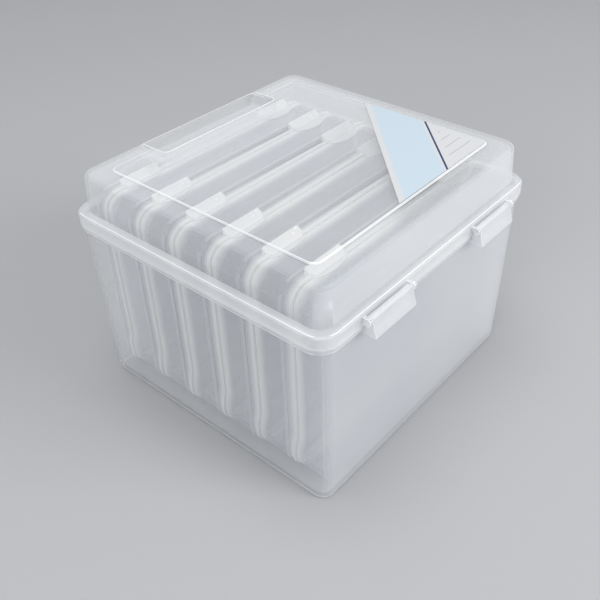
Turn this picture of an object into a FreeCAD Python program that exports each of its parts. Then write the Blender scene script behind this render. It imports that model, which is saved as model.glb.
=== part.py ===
import FreeCAD, Part
import math
import os
from FreeCAD import Vector as V

os.makedirs("parts", exist_ok=True)

# Storage box of clear moulded plastic: a tapered tub, a domed lid on a rear hinge, two swing latches
# at the front and six upright clamshell cases inside. Millimetres, +Z up, front is -Y.
# The origin is the middle of the tub's underside.

# Rim and walls
rim_x = 215.0
rim_y = 208.0
rim_corner = 14.0
wall = 1.8

# Tub
base_inset = 5.1
top_inset = 2.9
tub_floor = 2.0
tub_top = 131.0
foot_bevel = 1.6
bead_drop = 7.0
bead_tall = 4.0
bead_inset = 0.9
bead_bevel = 0.8

# Lid
flange_bevel = 1.2
dome_inset = 6.0
dome_draft = 1.3
dome_corner = 10.0
dome_rise = 26.0
dome_round = 3.5
panel_side = 13.2
panel_end = 14.3
panel_corner = 6.0
panel_rise = 1.5
panel_bevel = 0.6

# Grip pocket at the rear of the lid panel
pocket_x = 104.0
pocket_y = 24.9
pocket_depth = 9.0
pocket_corner = 4.0
pocket_bevel = 1.5

# Rear hinge
hinge_back = 4.2
hinge_drop = 4.8
barrel_r = 2.9
barrel_long = 84.0
ear_wide = 6.0
ear_drop = 15.0
hinge_pin_r = 1.5
hinge_pin_reach = 4.5

# Latches
latch_x = 54.7
latch_wide = 37.5
latch_back = 3.1
latch_drop = 2.0
latch_long = 10.8
latch_pin_r = 1.2
clip_wall = 1.0
clip_mouth = 2.0
lug_wide = 2.3
lug_high = 5.0
lug_bevel = 1.2
latch_wall = 1.6
lip_edge = 1.2
flap_knee = 4.0
flap_bulge = 0.6
hook_thick = 1.6
hook_catch = 1.0

# Clamshell cases
case_count = 6
case_wall = 1.2
case_corner = 10.8
rib_rise = 1.2
rib_band = 2.2
back_band = 2.4
seam_y = 4.5
seam_jog = 2.6
jog_low = 20.0
jog_high = 37.0
strap_long = 120.0
strap_thick = 0.6
strap_reach = 3.0

# Snap tabs on the cases
tab_x = 63.5
tab_wide = 30.0
tab_lip = 0.6
tab_edge = 0.5
tab_ridge = 5.5
tab_rear = 7.5
tab_root = 1.2
tab_rise = 3.4
tab_corner = 2.5

# Corner label
label_leg = 97.0
label_inset = 1.5
label_corner = 3.0
label_thick = 0.2

# Clearances
skirt_clear = 0.3
pin_clear = 0.1
side_clear = 0.4
rest_clear = 0.3
seam_clear = 0.3
tab_clear = 0.3
brim_clear = 0.2
ear_clear = 0.7

# Room left round the cases: between neighbours, at the row's ends, at each case's ends and overhead
case_gap = 1.6
row_gap = 5.5
case_end_gap = 5.4
case_head = 5.6

# Slack for picking edges by their place
near = 0.01

# Places that follow from the sizes
half_x = rim_x / 2
half_y = rim_y / 2
bead_high = tub_top - bead_drop
bead_low = bead_high - bead_tall
skirt_low = bead_high + skirt_clear
flange_top = tub_top + brim_clear + wall
dome_top = flange_top + dome_rise
dome_top_inset = dome_inset + dome_draft
panel_x = rim_x - 2 * (dome_top_inset + panel_side)
panel_y = rim_y - 2 * (dome_top_inset + panel_end)
panel_top = dome_top + panel_rise
pocket_low = panel_top - pocket_depth
casing_low = pocket_low - wall
hinge_y = half_y + hinge_back
hinge_z = tub_top - hinge_drop
ear_r = hinge_back - ear_clear
latch_y = -(half_y + latch_back)
latch_z = tub_top - latch_drop
lip_y = -(hinge_y + ear_r)
lip_low = latch_z - latch_long
floor_side = base_inset + wall
case_x = rim_x - 2 * (floor_side + case_end_gap + rib_rise)
case_row = rim_y - 2 * (floor_side + row_gap)
case_pitch = (case_row + case_gap) / case_count
case_t = case_pitch - case_gap
rib_low = tub_floor + rest_clear
rib_high = casing_low - case_head
body_low = rib_low + rib_rise
body_high = rib_high - rib_rise
case_z = body_high - body_low
tab_high = rib_high + tab_rise


def rounded(hx, hy, r, z):
    """Closed outline of a rounded rectangle at height z."""
    k = r * (1 - math.sqrt(0.5))
    arcs = []
    for sx, sy in ((1, 1), (-1, 1), (-1, -1), (1, -1)):
        p = V(sx * hx, sy * (hy - r), z)
        m = V(sx * (hx - k), sy * (hy - k), z)
        q = V(sx * (hx - r), sy * hy, z)
        arcs.append((p, m, q) if sx * sy > 0 else (q, m, p))
    edges = []
    for i, (p, m, q) in enumerate(arcs):
        edges.append(Part.Arc(p, m, q).toShape())
        edges.append(Part.makeLine(q, arcs[(i + 1) % 4][0]))
    return Part.Wire(edges)


def prism(hx, hy, r, z0, z1):
    """Upright rounded block."""
    return Part.Face(rounded(hx, hy, r, z0)).extrude(V(0, 0, z1 - z0))


def upright_slab(hx, r, z0, z1, y0, y1):
    """Rounded rectangle standing in XZ, given thickness along Y."""
    slab = Part.Face(rounded(hx, (z1 - z0) / 2, r, 0)).extrude(V(0, 0, y0 - y1))
    slab.rotate(V(0, 0, 0), V(1, 0, 0), 90)
    slab.translate(V(0, y0, (z0 + z1) / 2))
    return slab


def side_prism(points, x0, x1):
    """Closed side profile of (y, z) points, given width along X."""
    ring = [V(x0, y, z) for y, z in points]
    return Part.Face(Part.makePolygon(ring + ring[:1])).extrude(V(x1 - x0, 0, 0))


def frustum(hx0, hy0, z0, hx1, hy1, z1):
    """Block with flat drafted sides."""
    signs = ((1, 1), (-1, 1), (-1, -1), (1, -1))
    low = [V(sx * hx0, sy * hy0, z0) for sx, sy in signs]
    high = [V(sx * hx1, sy * hy1, z1) for sx, sy in signs]
    rings = [low, high]
    for i in range(4):
        k = (i + 1) % 4
        rings.append([low[i], low[k], high[k], high[i]])
    faces = [Part.Face(Part.makePolygon(ring + ring[:1])) for ring in rings]
    return Part.makeSolid(Part.makeShell(faces))


def quarter(cx, cy, sx, sy, r, z):
    """Outline of a quarter disc in one of the four corners."""
    k = r * math.sqrt(0.5)
    centre = V(sx * cx, sy * cy, z)
    start = centre + V(sx * r, 0, 0)
    end = centre + V(0, sy * r, 0)
    arc = Part.Arc(start, centre + V(sx * k, sy * k, 0), end).toShape()
    return Part.Wire([Part.makeLine(centre, start), arc, Part.makeLine(end, centre)])


def tapered(inset0, z0, inset1, z1, corner):
    """Block with drafted flat sides and round corners; sides are insets from the rim."""
    x0, y0 = half_x - inset0, half_y - inset0
    x1, y1 = half_x - inset1, half_y - inset1
    pieces = [frustum(x0, y0 - corner, z0, x1, y1 - corner, z1),
              frustum(x0 - corner, y0, z0, x1 - corner, y1, z1)]
    for sx, sy in ((1, 1), (-1, 1), (-1, -1), (1, -1)):
        ends = [quarter(x0 - corner, y0 - corner, sx, sy, corner, z0),
                quarter(x1 - corner, y1 - corner, sx, sy, corner, z1)]
        pieces.append(Part.makeLoft(ends, True, True))
    return pieces[0].fuse(pieces[1:]).removeSplitter()


def rod(x0, x1, y, z, r):
    """Round bar along X."""
    return Part.makeCylinder(r, x1 - x0, V(x0, y, z), V(1, 0, 0))


def level_edges(shape, z):
    """Edges that lie wholly at height z."""
    boxes = [(e, e.BoundBox) for e in shape.Edges]
    return [e for e, b in boxes if abs(b.ZMin - z) < near and abs(b.ZMax - z) < near]


def moved(shape, x, y, z):
    """Copy of a shape set at another place."""
    copy = shape.copy()
    copy.translate(V(x, y, z))
    return copy


def save(shape, name):
    """Write one finished piece."""
    shape.removeSplitter().Solids[0].exportStep("parts/" + name + ".step")


# Tub: tapered shell with a bevelled foot, and a bead round the rim that the lid's skirt comes down to.
tub_corner = rim_corner - base_inset
outer = tapered(base_inset, 0, top_inset, tub_top, tub_corner)
outer = outer.makeChamfer(foot_bevel, level_edges(outer, 0))
tub_slope = (base_inset - top_inset) / tub_top
floor_inset = floor_side - tub_slope * tub_floor
cavity = tapered(floor_inset, tub_floor, top_inset + wall, tub_top, tub_corner - wall)
cavity = cavity.makeChamfer(foot_bevel, level_edges(cavity, tub_floor))
bead = prism(half_x - bead_inset, half_y - bead_inset, rim_corner - bead_inset, bead_low, bead_high)
bead = bead.makeChamfer(bead_bevel, level_edges(bead, bead_low))

# Tub hinge ears: arms on the rear wall that rise outside the skirt, bored for the lid's pins.
arm_root = half_y - top_inset - wall / 2
arm_face = hinge_y - ear_r
arm_profile = [(arm_root, hinge_z - ear_drop), (hinge_y + ear_r, hinge_z - ear_r), (hinge_y + ear_r, hinge_z),
               (arm_face, hinge_z), (arm_face, bead_high), (arm_root, bead_high)]
ear_start = barrel_long / 2 + side_clear
ears = []
for x0 in (ear_start, -ear_start - ear_wide):
    ears.append(side_prism(arm_profile, x0, x0 + ear_wide))
    ears.append(rod(x0, x0 + ear_wide, hinge_y, hinge_z, ear_r))
bore_half = ear_start + hinge_pin_reach + side_clear
bore = rod(-bore_half, bore_half, hinge_y, hinge_z, hinge_pin_r + pin_clear)
save(outer.fuse([bead] + ears).cut([cavity, bore]), "tub")

# Lid outside: skirt and flange, a dome with drafted sides, and a raised flat panel on top.
skirt = prism(half_x, half_y, rim_corner, skirt_low, flange_top)
skirt = skirt.makeChamfer(flange_bevel, level_edges(skirt, flange_top))
dome = tapered(dome_inset, flange_top - wall, dome_top_inset, dome_top, dome_corner)
dome = dome.makeFillet(dome_round, level_edges(dome, dome_top))
panel = prism(panel_x / 2, panel_y / 2, panel_corner, dome_top - wall, panel_top)
panel = panel.makeChamfer(panel_bevel, level_edges(panel, panel_top))

# Lid inside: the same forms set in by the wall.
under_skirt = prism(half_x - wall, half_y - wall, rim_corner - wall, skirt_low, flange_top - wall)
roof = dome_top - wall
dome_slope = dome_draft / (dome_top - flange_top + wall)
hollow_inset = dome_top_inset + wall - dome_slope * wall
hollow = tapered(dome_inset + wall, flange_top - wall, hollow_inset, roof, dome_corner - wall)
hollow = hollow.makeChamfer(dome_round - wall, level_edges(hollow, roof))
under_panel = prism(panel_x / 2 - wall, panel_y / 2 - wall, panel_corner - wall, roof, panel_top - wall)

# Grip pocket: a trough let into the panel, closed at the back by the dome's rear wall.
rear_slope = dome_slope * (dome_top - pocket_low)
pocket_back = half_y - dome_top_inset - wall
pocket_mid = pocket_back - pocket_y / 2
trough = prism(pocket_x / 2, pocket_y / 2, pocket_corner, pocket_low, panel_top + wall)
trough = moved(trough.makeChamfer(pocket_bevel, level_edges(trough, pocket_low)), 0, pocket_mid, 0)
casing = prism(pocket_x / 2 + wall, pocket_y / 2 + wall, pocket_corner + wall, casing_low, panel_top)
casing = moved(casing.makeChamfer(pocket_bevel, level_edges(casing, casing_low)), 0, pocket_mid, 0)
behind = prism(pocket_x / 2 + wall, wall, wall / 2, casing_low, panel_top)
behind = moved(behind, 0, pocket_back + wall + rear_slope, 0)
void = under_skirt.fuse([hollow, under_panel]).cut([casing, behind])
shell = skirt.fuse([dome, panel]).cut([void, trough])

# Lid hinge barrel: a round bar on a web from the rear skirt, with a moulded pin at each end.
skirt_back = half_y - wall / 2
web_low = hinge_z - barrel_r / 2
web_profile = [(skirt_back, web_low), (hinge_y, web_low), (hinge_y, hinge_z + barrel_r),
               (skirt_back, flange_top - flange_bevel)]
half_barrel = barrel_long / 2
pin_end = ear_start + hinge_pin_reach
fittings = [side_prism(web_profile, -half_barrel, half_barrel),
            rod(-half_barrel, half_barrel, hinge_y, hinge_z, barrel_r),
            rod(-pin_end, pin_end, hinge_y, hinge_z, hinge_pin_r)]

# Lid latch bars: a round bar between two lugs on the front skirt, which the latch clips on to.
clip_bore = latch_pin_r + pin_clear
clip_r = clip_bore + clip_wall
lug_y = latch_y - clip_r
lug_low = latch_z - lug_high / 2
lug_top = latch_z + lug_high / 2
lug_profile = [(-skirt_back, lug_low), (lug_y + lug_bevel, lug_low), (lug_y, lug_low + lug_bevel),
               (lug_y, lug_top - lug_bevel), (lug_y + lug_bevel, lug_top), (-skirt_back, lug_top)]
lug_start = latch_wide / 2 + side_clear
lug_end = lug_start + lug_wide
for middle in (-latch_x, latch_x):
    for x0 in (middle - lug_end, middle + lug_start):
        fittings.append(side_prism(lug_profile, x0, x0 + lug_wide))
    fittings.append(rod(middle - lug_start, middle + lug_start, latch_y, latch_z, latch_pin_r))
save(shell.fuse(fittings), "lid")

# Latch: an open clip round the lid's bar, a flap that flares to a finger lip, end cheeks, and a hook
# bar that closes under the tub's bead.
flap_y = latch_y - clip_r
knee_y = flap_y - flap_bulge
knee_z = latch_z - flap_knee
hook_high = bead_low - rest_clear
hook_low = hook_high - hook_thick
hook_tip = -(half_y - bead_inset - hook_catch)
cheek_y = -(half_y + side_clear)
half_latch = latch_wide / 2
flap = side_prism([(flap_y, latch_z), (knee_y, knee_z), (lip_y, lip_low + lip_edge), (lip_y, lip_low),
                   (lip_y + latch_wall, lip_low), (knee_y + latch_wall, knee_z), (latch_y, latch_z)],
                  -half_latch, half_latch)
hook = side_prism([(hook_tip, hook_high), (latch_y, hook_high), (lip_y + latch_wall, lip_low + lip_edge),
                   (lip_y + latch_wall / 2, lip_low), (latch_y, hook_low), (hook_tip, hook_low)],
                  -half_latch, half_latch)
cheek_profile = [(latch_y, latch_z), (knee_y, knee_z), (lip_y + latch_wall / 2, lip_low + lip_edge / 2),
                 (latch_y, hook_low), (cheek_y, hook_low), (cheek_y, knee_z)]
latch_parts = [flap, hook]
for x0 in (-half_latch, half_latch - latch_wall):
    latch_parts.append(side_prism(cheek_profile, x0, x0 + latch_wall))
mouth = Part.makeBox(latch_wide, clip_r, clip_mouth, V(-half_latch, latch_y, latch_z - clip_mouth / 2))
clip = rod(-half_latch, half_latch, latch_y, latch_z, clip_r)
latch = clip.fuse(latch_parts).cut([rod(-half_latch, half_latch, latch_y, latch_z, clip_bore), mouth])
save(moved(latch, -latch_x, 0, 0), "latch_left")
save(moved(latch, latch_x, 0, 0), "latch_right")


def seam_edges(shift):
    """Parting line from bottom to top, two tangent arcs making its step, moved along Y by shift."""
    upper_y = seam_y + shift
    lower_y = upper_y + seam_jog
    half = (jog_high - jog_low) / 2
    radius = (half * half + seam_jog * seam_jog / 4) / seam_jog
    turn = math.asin(half / radius) / 2
    bulge = radius * (1 - math.cos(turn))
    rise = radius * math.sin(turn)
    low = V(0, lower_y, jog_low)
    mid = V(0, upper_y + seam_jog / 2, jog_low + half)
    high = V(0, upper_y, jog_high)
    return [Part.makeLine(V(0, lower_y, 0), low),
            Part.Arc(low, V(0, lower_y - bulge, jog_low + rise), mid).toShape(),
            Part.Arc(mid, V(0, upper_y + bulge, jog_high - rise), high).toShape(),
            Part.makeLine(high, V(0, upper_y, tab_high))]


def seam_block(front, back):
    """Block between two copies of the parting line, as wide as a case with its ribs."""
    fore = seam_edges(front)
    rear = seam_edges(back)
    ends = [Part.makeLine(fore[k].Vertexes[k].Point, rear[k].Vertexes[k].Point) for k in (0, -1)]
    face = Part.Face(Part.Wire(Part.sortEdges(fore + rear + ends)[0]))
    reach = case_x / 2 + 2 * rib_rise
    return moved(face.extrude(V(2 * reach, 0, 0)), -reach, 0, 0)


# Case: a rounded hollow slab parted along a stepped line, with a rib that follows the parting and
# a rib round the back.
half_case = case_x / 2
front_y = -case_t / 2
back_y = case_t / 2
body = upright_slab(half_case, case_corner, body_low, body_high, front_y, back_y)
in_x = half_case - case_wall
in_start = V(-in_x, front_y + case_wall, body_low + case_wall)
inside = Part.makeBox(2 * in_x, case_t - 2 * case_wall, case_z - 2 * case_wall, in_start)
long_edges = [e for e in inside.Edges if e.BoundBox.YLength > case_wall]
inside = inside.makeChamfer(case_corner - case_wall, long_edges)
rib_x = half_case + rib_rise
rib_corner = case_corner + rib_rise
ring = upright_slab(rib_x, rib_corner, rib_low, rib_high, front_y, back_y)
back_rib = upright_slab(rib_x, rib_corner, rib_low, rib_high, back_y - back_band, back_y)
gap = seam_clear / 2
front_half = body.common(seam_block(-case_t, -gap))
rear_half = body.common(seam_block(gap, case_t))
seam_rib = ring.common(seam_block(gap, gap + rib_band))

# Case snap tabs: wedges rooted on the cover that fall from a ridge to a thin lip over the tray's edge.
# Each is the common part of a side profile and a plan with cut corners.
root_z = body_high - case_wall / 2
lip_front = seam_y - tab_lip
lip_under = body_high + tab_clear
tab_foot = seam_y + tab_root
tab_back = seam_y + tab_rear
half_tab = tab_wide / 2
wedge = side_prism([(tab_back, root_z), (tab_back, rib_high), (seam_y + tab_ridge, tab_high),
                    (lip_front, lip_under + tab_edge), (lip_front, lip_under), (tab_foot, lip_under),
                    (tab_foot, root_z)], -half_tab, half_tab)
plan_start = V(-half_tab, lip_front, root_z)
plan = Part.makeBox(tab_wide, tab_back - lip_front, tab_high - root_z, plan_start)
plan = plan.makeChamfer(tab_corner, [e for e in plan.Edges if e.BoundBox.ZLength > tab_rise])
tab = wedge.common(plan)

# Case hinge: a thin web on the tray that runs under the seam to the cover, whose ribs stop there.
strap_y = seam_y + seam_jog - strap_reach
strap_start = V(-strap_long / 2, strap_y, body_low - strap_thick)
strap = Part.makeBox(strap_long, 2 * strap_reach, strap_thick, strap_start)
notch_long = strap_long + 2 * side_clear
notch = Part.makeBox(notch_long, case_t, rib_rise, V(-notch_long / 2, strap_y, rib_low))
tabs = [moved(tab, side * tab_x, 0, 0) for side in (-1, 1)]
tray = front_half.fuse(strap).cut(inside)
cover = rear_half.fuse([seam_rib, back_rib] + tabs).cut([inside, notch])
for i in range(case_count):
    y = (i - (case_count - 1) / 2) * case_pitch
    save(moved(tray, 0, y, 0), "case_%d_tray" % (i + 1))
    save(moved(cover, 0, y, 0), "case_%d_cover" % (i + 1))

# Label: thin corner card, a right triangle on the front right of the lid panel.
right = panel_x / 2 - label_inset
front = -(panel_y / 2 - label_inset)
square = V(right, front, panel_top)
points = [square, square + V(0, label_leg, 0), square - V(label_leg, 0, 0)]
card = Part.Face(Part.makePolygon(points + points[:1])).extrude(V(0, 0, label_thick))
upright = [e for e in card.Edges if e.BoundBox.ZLength > label_thick / 2]
save(card.makeFillet(label_corner, [e for e in upright if e.BoundBox.Center.x > right - near
                                    and e.BoundBox.Center.y < front + near]), "label")
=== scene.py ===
import math
import bpy
from mathutils import Matrix, Vector


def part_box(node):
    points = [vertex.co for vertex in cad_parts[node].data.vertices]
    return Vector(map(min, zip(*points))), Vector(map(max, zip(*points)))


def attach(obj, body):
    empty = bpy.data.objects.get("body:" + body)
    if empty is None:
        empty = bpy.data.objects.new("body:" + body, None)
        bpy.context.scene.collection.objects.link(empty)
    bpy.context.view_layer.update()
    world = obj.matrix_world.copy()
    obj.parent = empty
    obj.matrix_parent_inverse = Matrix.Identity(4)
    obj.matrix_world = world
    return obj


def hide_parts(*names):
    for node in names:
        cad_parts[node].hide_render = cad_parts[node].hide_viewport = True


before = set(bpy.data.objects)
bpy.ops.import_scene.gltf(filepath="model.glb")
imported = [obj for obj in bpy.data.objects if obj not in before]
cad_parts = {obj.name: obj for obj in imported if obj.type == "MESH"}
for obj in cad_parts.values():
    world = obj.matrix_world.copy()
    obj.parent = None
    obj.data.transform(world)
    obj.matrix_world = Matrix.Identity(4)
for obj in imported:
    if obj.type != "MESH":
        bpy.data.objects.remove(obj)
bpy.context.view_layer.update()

scene = bpy.context.scene


# Tub: the open box that everything stands in, moulded in one shot of milky polypropylene with a bead
# round its rim and two bored ears at the back. Its walls are about 1.8 mm thick and pass most light.
rim_foot, foot_top, tub_soften = 0.1185, 0.0019, 0.0005
out_x, out_y, bead_y = 0.1055, 0.1020, 0.1033
corner_depth, roof_fade = 0.014, 0.003
plastic_ior, edge_power, haze_drift = 1.49, 3.0, 0.04
flow_scale, flow_detail, flow_low, flow_high = 13.0, 1.0, 0.3, 0.7
flow_shade, gloss_less, gloss_more = (0.965, 0.972, 0.985), 0.05, 0.07
pebble_scale, pebble_detail, pebble_strength, pebble_height = 1500.0, 0.0, 0.01, 0.0002


def cloud(tree, scale, detail):
    """Noise that is fixed in the piece's own frame."""
    place = tree.nodes.new("ShaderNodeTexCoord")
    noise = tree.nodes.new("ShaderNodeTexNoise")
    noise.inputs["Scale"].default_value = scale
    noise.inputs["Detail"].default_value = detail
    tree.links.new(place.outputs["Object"], noise.inputs["Vector"])
    return noise.outputs["Fac"]


def own_axes(tree):
    """X, Y and Z of a spot in the piece's own frame."""
    place = tree.nodes.new("ShaderNodeTexCoord")
    axes = tree.nodes.new("ShaderNodeSeparateXYZ")
    tree.links.new(place.outputs["Object"], axes.inputs["Vector"])
    return axes.outputs


def step(tree, operation, first, second):
    """Math node between two outputs or numbers."""
    node = tree.nodes.new("ShaderNodeMath")
    node.operation = operation
    for socket, value in zip(node.inputs, (first, second)):
        if isinstance(value, float):
            socket.default_value = value
        else:
            tree.links.new(value, socket)
    return node.outputs["Value"]


def ramp(tree, value, start, end, low, high, shape="SMOOTHSTEP"):
    """Change from low to high while a value goes from start to end."""
    node = tree.nodes.new("ShaderNodeMapRange")
    node.interpolation_type = shape
    for socket, number in zip(("From Min", "From Max", "To Min", "To Max"), (start, end, low, high)):
        node.inputs[socket].default_value = number
    tree.links.new(value, node.inputs["Value"])
    return node.outputs["Result"]


def tones(tree, value, start, end, dark, light):
    """Colour that goes from dark to light while a value goes from start to end."""
    node = tree.nodes.new("ShaderNodeValToRGB")
    for stop, position, colour in zip(node.color_ramp.elements, (start, end), (dark, light)):
        stop.position = position
        stop.color = (*colour, 1)
    tree.links.new(value, node.inputs["Fac"])
    return node.outputs["Color"]


def milky_plastic(name, tint, haze, edge, gloss, pebbled=False):
    """Moulded polypropylene: a faint cloudy haze, whiter seen edge on, lightly pebbled where asked."""
    mat = bpy.data.materials.new(name)
    mat.use_nodes = True
    tree = mat.node_tree
    shader = tree.nodes["Principled BSDF"]
    shader.inputs["IOR"].default_value = plastic_ior
    flow = cloud(tree, flow_scale, flow_detail)
    shaded = [part * share for part, share in zip(tint, flow_shade)]
    tree.links.new(tones(tree, flow, flow_low, flow_high, shaded, tint), shader.inputs["Base Color"])
    rough = ramp(tree, flow, 0.0, 1.0, gloss - gloss_less, gloss + gloss_more, "LINEAR")
    tree.links.new(rough, shader.inputs["Roughness"])
    thin, thick = haze * (1 - haze_drift), haze * (1 + haze_drift)
    drift = ramp(tree, flow, flow_low, flow_high, thin, thick, "LINEAR")
    facing = tree.nodes.new("ShaderNodeLayerWeight")
    edge_on = step(tree, "POWER", facing.outputs["Facing"], edge_power)
    tree.links.new(step(tree, "ADD", step(tree, "MULTIPLY", edge_on, edge), drift), shader.inputs["Alpha"])
    if pebbled:
        bump = tree.nodes.new("ShaderNodeBump")
        bump.inputs["Strength"].default_value = pebble_strength
        bump.inputs["Distance"].default_value = pebble_height
        tree.links.new(cloud(tree, pebble_scale, pebble_detail), bump.inputs["Height"])
        tree.links.new(bump.outputs["Normal"], shader.inputs["Normal"])
    return mat


def add_haze(tree, more):
    """Adds to the haze that a plastic has already."""
    alpha = tree.nodes["Principled BSDF"].inputs["Alpha"]
    tree.links.new(step(tree, "ADD", more, alpha.links[0].from_socket), alpha)


def painted_front_light(mat, wall, roof, painted_light_haze):
    """Painted light: makes a plastic hazier, and so whiter, toward its front wall, up to a height, as if lit
    there; the case close behind shows less.
    """
    tree = mat.node_tree
    axes = own_axes(tree)
    near = ramp(tree, axes["Y"], wall, wall + corner_depth, painted_light_haze, 0.0)
    below = ramp(tree, axes["Z"], roof - roof_fade, roof, 1.0, 0.0)
    add_haze(tree, step(tree, "MULTIPLY", near, below))


weld_gap, flat_area, ease_steps = 0.00006, 0.0001, 2
flat_turn, sharp_turn, smooth_turn = math.radians(0.4), math.radians(34), math.radians(38)
wall_index, edge_index, rim_index = 0, 1, 2


def moulded(node, body, soften, plastic, edge_plastic, outer):
    """Copy of a CAD node with joined faces, eased outer edges, smooth rounds and flat walls."""
    bpy.ops.object.select_all(action="DESELECT")
    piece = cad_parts[node].copy()
    piece.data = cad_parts[node].data.copy()
    piece.name = node + "_moulding"
    piece.parent = None
    for key in list(piece.keys()):
        del piece[key]
    scene.collection.objects.link(piece)
    piece.data.materials.clear()
    piece.data.materials.append(plastic)
    piece.data.materials.append(edge_plastic)
    piece.select_set(True)
    bpy.context.view_layer.objects.active = piece
    bpy.ops.object.mode_set(mode="EDIT")
    bpy.ops.mesh.select_all(action="SELECT")
    bpy.ops.mesh.remove_doubles(threshold=weld_gap)
    bpy.ops.mesh.dissolve_limited(angle_limit=flat_turn, use_dissolve_boundaries=False)
    bpy.ops.mesh.select_all(action="DESELECT")
    bpy.ops.mesh.select_mode(type="EDGE")
    bpy.ops.mesh.edges_select_sharp(sharpness=sharp_turn)
    bpy.ops.object.mode_set(mode="OBJECT")
    points = piece.data.vertices
    sharp = [edge.select for edge in piece.data.edges]
    weights = piece.data.attributes.new("bevel_weight_edge", "FLOAT", "EDGE")
    for edge in piece.data.edges:
        first, last = (points[k].co for k in edge.vertices)
        weights.data[edge.index].value = float(sharp[edge.index] and outer((first + last) / 2))
    ease = piece.modifiers.new("eased_edges", "BEVEL")
    ease.width = soften
    ease.segments = ease_steps
    ease.limit_method = "WEIGHT"
    ease.use_clamp_overlap = False
    ease.material = edge_index
    bpy.ops.object.modifier_apply(modifier=ease.name)
    bpy.ops.object.shade_smooth_by_angle(angle=smooth_turn)
    flat = piece.modifiers.new("flat_walls", "WEIGHTED_NORMAL")
    flat.keep_sharp = True
    bpy.ops.object.modifier_apply(modifier=flat.name)
    normals = [corner.vector.copy() for corner in piece.data.corner_normals]
    for face in piece.data.polygons:
        if face.area > flat_area:
            for corner in face.loop_indices:
                normals[corner] = face.normal.copy()
    piece.data.normals_split_custom_set(normals)
    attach(piece, body)
    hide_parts(node)
    return piece


def give_rim(piece, plastic, at_rim):
    """Gives the plain faces at a piece's rim their own plastic."""
    piece.data.materials.append(plastic)
    for face in piece.data.polygons:
        if face.material_index == wall_index and at_rim(face.center):
            face.material_index = rim_index


def tub_outside(spot):
    """True for the tub's bead and foot, which show as bright lines."""
    return abs(spot.x) > out_x or out_y < abs(spot.y) < bead_y or spot.z < foot_top


tub_plastic = milky_plastic("tub_plastic", (0.85, 0.865, 0.885),
                            haze=0.165, edge=0.5, gloss=0.22, pebbled=True)
tub_edge = milky_plastic("tub_edge", (0.96, 0.965, 0.97), haze=0.78, edge=0.2, gloss=0.3)
tub_rim = milky_plastic("tub_rim", (0.95, 0.957, 0.965), haze=0.36, edge=0.4, gloss=0.26)
# Painted light: the tub's front wall is made hazier and whiter, up to near its top.
painted_front_light(tub_plastic, wall=-0.099, roof=0.13, painted_light_haze=0.10)
tub = moulded("tub", "tub", tub_soften, tub_plastic, tub_edge, tub_outside)
give_rim(tub, tub_rim, lambda spot: spot.z > rim_foot)

# Cases: six clamshells that stand in a row, each a tray in front and a cover behind, moulded thinner
# than the tub in the same milky plastic. The ribs and snap tabs are thicker and so look whiter. Each wall
# gets a painted glow, whiter and hazier, within a few mm of the rib that follows the parting.
case_pitch, row_half, case_soften = 0.0308, 0.0924, 0.0002
seam, jog, jog_low, jog_high = 0.005, 0.003, 0.018, 0.037
painted_glow_core, painted_glow_edge, painted_glow_haze, painted_glow_tint = 0.001, 0.0084, 0.46, (0.955, 0.95, 0.938, 1)
rib_side, rib_top, rib_foot, back_rib = 0.0941, 0.1430, 0.0034, 0.0120
tab_near, tab_far, tab_back = 0.0484, 0.0786, 0.0122
rib_index, back_rib_index, tab_index = 2, 3, 4
# Painted shade: the case bodies are a darker grey than the tub's same plastic, to darken the inside of the
# box.
case_plastic = milky_plastic("case_plastic", (0.66, 0.69, 0.73), haze=0.20, edge=0.5, gloss=0.3)
case_edge = milky_plastic("case_edge", (0.92, 0.925, 0.93), haze=0.35, edge=0.3, gloss=0.35)
rib_plastic = milky_plastic("rib_plastic", (0.96, 0.955, 0.94), haze=0.66, edge=0.3, gloss=0.35)
back_rib_plastic = milky_plastic("back_rib_plastic", (0.88, 0.89, 0.90), haze=0.32, edge=0.3, gloss=0.35)
tab_plastic = milky_plastic("tab_plastic", (0.965, 0.962, 0.95), haze=0.74, edge=0.2, gloss=0.4)


def laid_over(tree, under, mask, colour):
    """One colour laid over another as far as a mask says."""
    node = tree.nodes.new("ShaderNodeMix")
    node.data_type = "RGBA"
    node.inputs["B"].default_value = colour
    tree.links.new(mask, node.inputs["Factor"])
    tree.links.new(under, node.inputs["A"])
    return node.outputs["Result"]


# Painted glow: a band along each case's walls, centred on the parting seam and stepping with it, made hazier
# and whiter.
tree = case_plastic.node_tree
axes = own_axes(tree)
along_row = step(tree, "MODULO", step(tree, "ADD", axes["Y"], row_half), case_pitch)
in_case = step(tree, "SUBTRACT", along_row, case_pitch / 2)
seam_at = ramp(tree, axes["Z"], jog_low, jog_high, seam + jog, seam)
off_seam = step(tree, "ABSOLUTE", step(tree, "SUBTRACT", in_case, seam_at), 0.0)
painted_glow = ramp(tree, off_seam, painted_glow_core, painted_glow_edge, 1.0, 0.0)
add_haze(tree, step(tree, "MULTIPLY", painted_glow, painted_glow_haze))
base = tree.nodes["Principled BSDF"].inputs["Base Color"]
tree.links.new(laid_over(tree, base.links[0].from_socket, painted_glow, painted_glow_tint), base)


def case_middle(number):
    """Middle of one case along the row."""
    return (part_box("case_%d_tray" % number)[0].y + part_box("case_%d_cover" % number)[1].y) / 2


def whiten_ribs(piece, middle):
    """Gives the faces that stand proud of a case's walls the plastic of its thick ribs and tabs."""
    for plastic in (rib_plastic, back_rib_plastic, tab_plastic):
        piece.data.materials.append(plastic)
    for face in piece.data.polygons:
        x, y, z = abs(face.center.x), face.center.y - middle, face.center.z
        if z > rib_top and tab_near < x < tab_far and y < tab_back:
            face.material_index = tab_index
        elif x > rib_side or z > rib_top or z < rib_foot:
            face.material_index = back_rib_index if y > back_rib else rib_index


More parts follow.
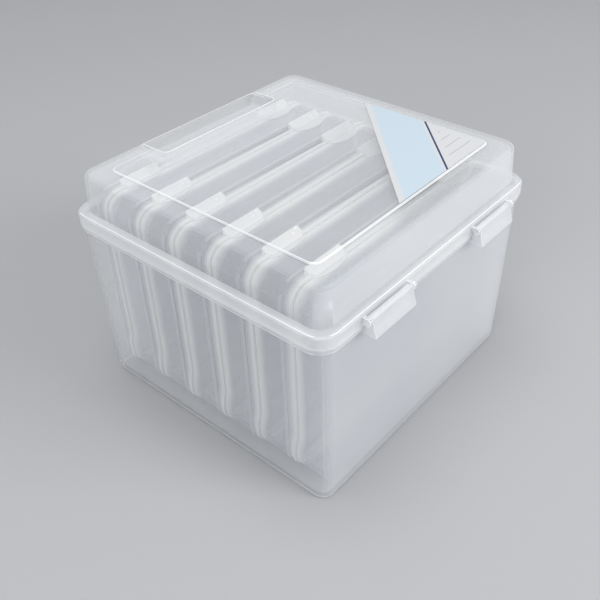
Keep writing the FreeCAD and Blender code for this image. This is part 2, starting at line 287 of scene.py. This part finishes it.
def everywhere(spot):
    """True for every spot, so that all sharp edges of a piece are eased."""
    return True


for number in range(1, 7):
    body = "case_%d" % number
    for half in ("_tray", "_cover"):
        piece = moulded(body + half, body, case_soften, case_plastic, case_edge, everywhere)
        whiten_ribs(piece, case_middle(number))

# Case front lines: a fine raised line that steps up to run along the top of each tray's front face,
# moulded with the tray.
line_low, line_high, line_bead, line_run = 0.1344, 0.1380, 0.0004, 0.0035
line_end, step_out, step_in = 0.080, 0.038, 0.031
bead_rounding, bead_pieces = 1, 8


def fine_bead(stops, bead, plastic):
    """Thin round bead of plastic through a row of points, each given with the run of its handles."""
    bpy.ops.object.select_all(action="DESELECT")
    bpy.ops.curve.primitive_bezier_curve_add(location=(0, 0, 0))
    line = bpy.context.object
    bpy.ops.object.mode_set(mode="EDIT")
    bpy.ops.curve.select_all(action="SELECT")
    bpy.ops.curve.subdivide(number_cuts=len(stops) - 2)
    bpy.ops.object.mode_set(mode="OBJECT")
    for point, (spot, run) in zip(line.data.splines[0].bezier_points, stops):
        point.handle_left_type = point.handle_right_type = "FREE"
        point.co = spot
        point.handle_left = Vector(spot) - Vector(run)
        point.handle_right = Vector(spot) + Vector(run)
    line.data.bevel_depth = bead
    line.data.bevel_resolution = bead_rounding
    line.data.resolution_u = bead_pieces
    line.data.use_fill_caps = True
    bpy.ops.object.convert(target="MESH")
    bpy.ops.object.shade_smooth()
    line.data.materials.append(plastic)
    return line


def placed_copy(model, name, spot, body):
    """Copy of a modelled piece with its own mesh, set at a spot and riding on a body."""
    bpy.ops.object.select_all(action="DESELECT")
    model.select_set(True)
    bpy.context.view_layer.objects.active = model
    bpy.ops.object.duplicate(linked=False)
    piece = bpy.context.object
    piece.name = name
    piece.location = spot
    bpy.ops.object.transform_apply(location=True, rotation=True, scale=True)
    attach(piece, body)


stops = ((-line_end, line_low), (-step_out, line_low), (-step_in, line_high),
         (step_in, line_high), (step_out, line_low), (line_end, line_low))
front_line = fine_bead([((x, 0, z), (line_run, 0, 0)) for x, z in stops], line_bead, case_edge)
for number in range(1, 7):
    body = "case_%d" % number
    spot = (0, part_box(body + "_tray")[0].y, 0)
    placed_copy(front_line, body + "_front_line", spot, body)
bpy.data.objects.remove(front_line)

# Tab nubs: small dimpled buttons moulded on the sloping tops of the snap tabs, two on each left tab and
# one on each right, each square to the slope.
nub_r, nub_rise, nub_sides, nub_ring, nub_dip = 0.00095, 0.0004, 20, 0.35, 0.7
nub_spots = ((-0.0513, 0.0090), (-0.0552, 0.0073), (0.0700, 0.0073))
ridge_y, ridge_z, tab_slope = 0.010, 0.1475, math.radians(31.9)
upward_least = 0.9
nub_plastic = milky_plastic("nub_plastic", (0.97, 0.967, 0.955), haze=0.92, edge=0.05, gloss=0.35)


def pick_faces(piece, wanted):
    """Leaves a piece in edit mode with only the wanted faces picked."""
    bpy.ops.object.mode_set(mode="EDIT")
    bpy.ops.mesh.select_mode(type="FACE")
    bpy.ops.mesh.select_all(action="DESELECT")
    bpy.ops.object.mode_set(mode="OBJECT")
    for face in piece.data.polygons:
        face.select = wanted(face)
    bpy.ops.object.mode_set(mode="EDIT")


bpy.ops.object.select_all(action="DESELECT")
bpy.ops.mesh.primitive_cylinder_add(vertices=nub_sides, radius=nub_r, depth=2 * nub_rise, location=(0, 0, 0))
nub = bpy.context.object
pick_faces(nub, lambda face: face.normal.z > upward_least)
bpy.ops.mesh.inset(thickness=nub_r * nub_ring)
bpy.ops.mesh.extrude_region_move(TRANSFORM_OT_translate={"value": (0, 0, -nub_rise * nub_dip)})
bpy.ops.object.mode_set(mode="OBJECT")
bpy.ops.object.shade_smooth_by_angle(angle=smooth_turn)
nub.data.materials.append(nub_plastic)
nub.rotation_euler = (tab_slope, 0, 0)
for number in range(1, 7):
    body = "case_%d" % number
    for k, (x, y) in enumerate(nub_spots):
        spot = (x, case_middle(number) + y, ridge_z - (ridge_y - y) * math.tan(tab_slope))
        placed_copy(nub, "%s_nub_%d" % (body, k + 1), spot, body)
bpy.data.objects.remove(nub)

# Tab tongues: the thin rounded front of each snap tab, which reaches over the tray's top edge, further at
# the right than at the left, and springs up when the case is opened. Moulded with the tab.
tongue_x, tongue_y, tongue_z = 0.0635, 0.0046, 0.14345
tongue_half, tongue_thick, tongue_sides = 0.0149, 0.0004, 48
left_reach, right_reach = 0.0045, 0.0085
tongue_plastic = milky_plastic("tongue_plastic", (0.955, 0.953, 0.945), haze=0.46, edge=0.3, gloss=0.4)
bpy.ops.object.select_all(action="DESELECT")
bpy.ops.mesh.primitive_cylinder_add(vertices=tongue_sides, radius=1, depth=1, location=(0, 0, 0))
tongue = bpy.context.object
bpy.ops.object.shade_smooth_by_angle(angle=smooth_turn)
tongue.data.materials.append(tongue_plastic)
for number in range(1, 7):
    body = "case_%d" % number
    for side, x, reach in (("left", -tongue_x, left_reach), ("right", tongue_x, right_reach)):
        tongue.scale = (tongue_half, reach, tongue_thick)
        spot = (x, case_middle(number) + tongue_y, tongue_z)
        placed_copy(tongue, "%s_tongue_%s" % (body, side), spot, body)
bpy.data.objects.remove(tongue)

# Lid: a drafted dome with a raised panel and a finger pocket at the rear, moulded with its own skirt,
# hinge barrel and latch bars. It hinges on the tub's ears by two short pins.
flange_high, flange_edge, skirt_foot, lug_root = 0.1335, 0.1329, 0.1246, -0.1042
panel_edge, pocket_edge, pocket_end, pocket_front = 0.1596, 0.1585, 0.0535, 0.0690
lid_soften = 0.00035
lid_plastic = milky_plastic("lid_plastic", (0.92, 0.935, 0.95),
                            haze=0.165, edge=0.5, gloss=0.2, pebbled=True)
lid_edge = milky_plastic("lid_edge", (0.96, 0.965, 0.97), haze=0.78, edge=0.2, gloss=0.3)
lid_rim = milky_plastic("lid_rim", (0.955, 0.962, 0.97), haze=0.34, edge=0.4, gloss=0.24)
# Painted light: the lid's front wall is made hazier and whiter, up to the panel.
painted_front_light(lid_plastic, wall=-0.0965, roof=0.158, painted_light_haze=0.22)


def lid_outside(spot):
    """True for the lid's panel, the pocket's mouth, the flange, the skirt's foot and the latch lugs."""
    at_rim = abs(spot.x) > out_x or out_y < abs(spot.y)
    in_pocket = abs(spot.x) < pocket_end and spot.y > pocket_front and spot.z > pocket_edge
    on_flange = at_rim and (spot.z < skirt_foot or flange_edge < spot.z < flange_high)
    return spot.z > panel_edge or in_pocket or on_flange or spot.y < lug_root


lid = moulded("lid", "lid", lid_soften, lid_plastic, lid_edge, lid_outside)
give_rim(lid, lid_rim, lambda spot: spot.z < flange_high)

# Pocket lip: a fine bead moulded round the front of the finger pocket's mouth, which stiffens the thin
# panel there and catches the light as a bright line.
lip_x, lip_y, lip_z, lip_back = 0.0523, 0.0697, 0.1605, 0.0900
lip_round, lip_bead, lip_run = 0.0043, 0.0004, 0.0024
lip = fine_bead([((-lip_x, lip_back, lip_z), (0, -lip_run, 0)),
                 ((-lip_x, lip_y + lip_round, lip_z), (0, -lip_run, 0)),
                 ((lip_round - lip_x, lip_y, lip_z), (lip_run, 0, 0)),
                 ((lip_x - lip_round, lip_y, lip_z), (lip_run, 0, 0)),
                 ((lip_x, lip_y + lip_round, lip_z), (0, lip_run, 0)),
                 ((lip_x, lip_back, lip_z), (0, lip_run, 0))], lip_bead, lid_edge)
lip.name = "pocket_lip"
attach(lip, "lid")

# Latches: two swing clips of the same plastic, thicker and so whiter, that snap on to the lid's bars
# and hook under the tub's bead.
latch_soften = 0.0003
latch_plastic = milky_plastic("latch_plastic", (0.91, 0.92, 0.93),
                              haze=0.36, edge=0.4, gloss=0.3, pebbled=True)
latch_edge = milky_plastic("latch_edge", (0.94, 0.95, 0.96), haze=0.6, edge=0.3, gloss=0.3)
for body in ("latch_left", "latch_right"):
    latch = moulded(body, body, latch_soften, latch_plastic, latch_edge, everywhere)

# Label: a stiff printed corner card stuck on the lid's panel, white with a pale blue band along its long
# edge, a dark blue rule beside the band and blank writing lines in the corner.
blue_low, blue_high, blue_ink = 0.050, 0.092, (0.56, 0.67, 0.75, 1)
rule_low, rule_high, rule_ink = 0.046, 0.0478, (0.012, 0.03, 0.13, 1)
write_first, write_gap, write_wide, write_count = 0.0085, 0.0075, 0.0004, 4
write_start, write_end, write_reach, write_ink = 0.006, 0.06, 0.040, (0.30, 0.33, 0.38, 1)
paper_dark, paper_light, paper_rough = (0.63, 0.64, 0.65), (0.70, 0.705, 0.71), 0.42
fibre_scale, fibre_detail = 1400.0, 2.0


def band(tree, value, low, high):
    """1 where a value lies between two limits, with edges as sharp as print."""
    node = tree.nodes.new("ShaderNodeMath")
    node.operation = "COMPARE"
    node.inputs[1].default_value = (low + high) / 2
    node.inputs[2].default_value = (high - low) / 2
    tree.links.new(value, node.inputs[0])
    return node.outputs["Value"]


card = bpy.data.materials.new("label_card")
card.use_nodes = True
tree = card.node_tree
axes = own_axes(tree)
label_low, label_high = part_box("label")
along_front = step(tree, "SUBTRACT", float(label_high.x), axes["X"])
along_side = step(tree, "SUBTRACT", axes["Y"], float(label_low.y))
from_corner = step(tree, "ADD", along_front, along_side)
paper = tones(tree, cloud(tree, fibre_scale, fibre_detail), 0.0, 1.0, paper_dark, paper_light)
ink = laid_over(tree, paper, band(tree, from_corner, blue_low, blue_high), blue_ink)
ink = laid_over(tree, ink, band(tree, from_corner, rule_low, rule_high), rule_ink)
in_corner = band(tree, from_corner, 0.0, write_reach)
in_lines = step(tree, "MULTIPLY", in_corner, band(tree, along_front, write_start, write_end))
for line in range(write_count):
    foot = write_first + write_gap * line
    ruled = band(tree, along_side, foot, foot + write_wide)
    ink = laid_over(tree, ink, step(tree, "MULTIPLY", ruled, in_lines), write_ink)
tree.links.new(ink, tree.nodes["Principled BSDF"].inputs["Base Color"])
tree.nodes["Principled BSDF"].inputs["Roughness"].default_value = paper_rough
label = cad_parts["label"]
label.data.materials.clear()
label.data.materials.append(card)

# Studio: a pale matt floor just under the tub, a broad overhead light, a light at the front, a weaker one
# at the left and a soft even sky.
floor_size, floor_drop, floor_rough = 6, 0.0002, 0.8
floor_grey, sky_grey, sky_level = (0.45, 0.455, 0.465, 1), (0.66, 0.67, 0.69, 1), 0.76
bpy.ops.object.select_all(action="DESELECT")
bpy.ops.mesh.primitive_plane_add(size=floor_size, location=(0, 0, -floor_drop))
floor = bpy.context.object
floor.name = "floor"
bpy.ops.object.transform_apply(location=True, rotation=True, scale=True)
floor_paint = bpy.data.materials.new("floor_paint")
floor_paint.use_nodes = True
floor_paint.node_tree.nodes["Principled BSDF"].inputs["Base Color"].default_value = floor_grey
floor_paint.node_tree.nodes["Principled BSDF"].inputs["Roughness"].default_value = floor_rough
floor.data.materials.append(floor_paint)
world = bpy.data.worlds.new("studio")
scene.world = world
world.use_nodes = True
world.node_tree.nodes["Background"].inputs["Color"].default_value = sky_grey
world.node_tree.nodes["Background"].inputs["Strength"].default_value = sky_level


def soft_light(name, place, target, size, watts):
    """Square area lamp that faces a point."""
    lamp = bpy.data.lights.new(name, "AREA")
    lamp.size = size
    lamp.energy = watts
    holder = bpy.data.objects.new(name, lamp)
    holder.location = place
    holder.rotation_euler = (Vector(target) - Vector(place)).to_track_quat("-Z", "Y").to_euler()
    scene.collection.objects.link(holder)


soft_light("overhead", place=(-0.1, 0.2, 2.0), target=(0, 0, 0.1), size=1.2, watts=13.5)
soft_light("front_fill", place=(0.45, -1.4, 0.8), target=(0, 0, 0.08), size=0.8, watts=13.5)
soft_light("left_fill", place=(-1.5, -0.3, 0.8), target=(0, 0, 0.08), size=0.7, watts=7.5)

# Camera at the photograph's place: its spot, turn and tilt are solved from the box's own edges. Many
# clear walls stand one behind another in this view, so light may pass a large number of them.
eye_spot = (-0.32834, -0.28836, 0.38803)
yaw, pitch, roll = math.radians(49.258), math.radians(37.141), math.radians(-1.417)
sensor_wide, lens_length, shift_across, shift_up, near_limit = 36, 46.668, -0.0219, -0.0226, 0.01
clear_walls = 48
look = Vector((math.sin(yaw) * math.cos(pitch), math.cos(yaw) * math.cos(pitch), -math.sin(pitch)))
level = Vector((math.cos(yaw), -math.sin(yaw), 0))
upward = level.cross(look)
across = level * math.cos(roll) + upward * math.sin(roll)
up = upward * math.cos(roll) - level * math.sin(roll)
camera = bpy.data.cameras.new("camera")
camera.sensor_width = sensor_wide
camera.lens = lens_length
camera.shift_x = shift_across
camera.shift_y = shift_up
camera.clip_start = near_limit
eye = bpy.data.objects.new("camera", camera)
eye.matrix_world = Matrix.Translation(eye_spot) @ Matrix((across, up, -look)).transposed().to_4x4()
scene.collection.objects.link(eye)
scene.camera = eye
scene.view_settings.view_transform = "Standard"
scene.cycles.transparent_max_bounces = clear_walls
